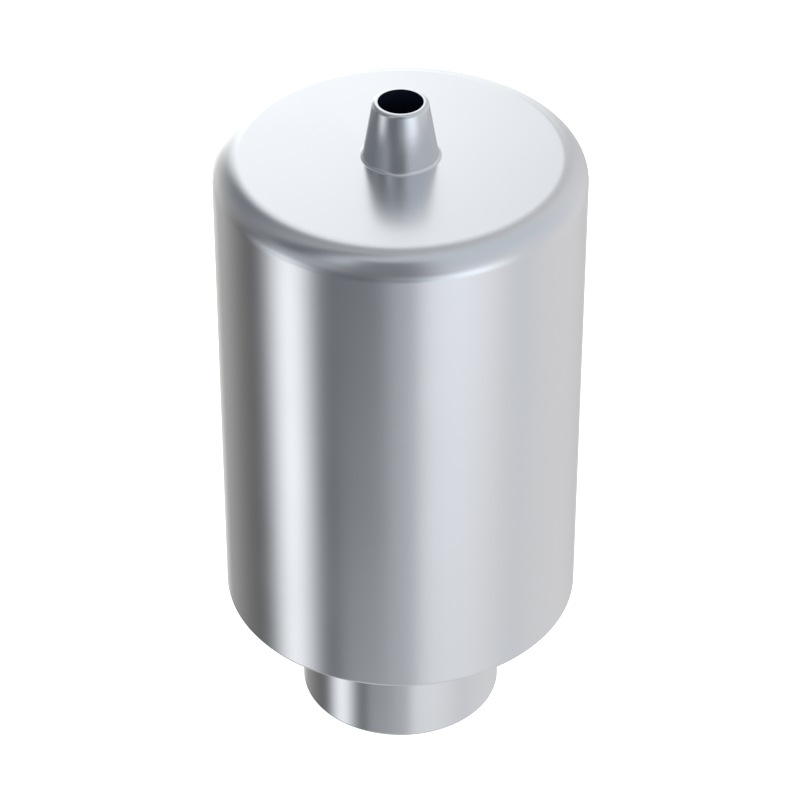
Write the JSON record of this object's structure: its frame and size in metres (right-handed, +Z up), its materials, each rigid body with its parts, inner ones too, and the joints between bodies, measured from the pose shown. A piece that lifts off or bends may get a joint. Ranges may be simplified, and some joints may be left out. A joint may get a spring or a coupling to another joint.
{
  "type": "dental abutment blank",
  "caption": "Turned titanium abutment blank: round body with a rounded upper edge, a small conical implant connection with a screw bore on top, and a plain holder stem below.",
  "frame": {"origin": "centre of the holder stem's end face, which the blank stands on", "axes": "+Z up the turning axis, from the stem through the body to the tip of the implant connection; X and Y are free, because the part is round"},
  "size_m": [0.014, 0.014, 0.0276],
  "materials": {
    "titanium": "satin, finely turned titanium alloy"
  },
  "bodies": {
    "root": {"abutment_blank": "titanium"}
  },
  "joints": []
}
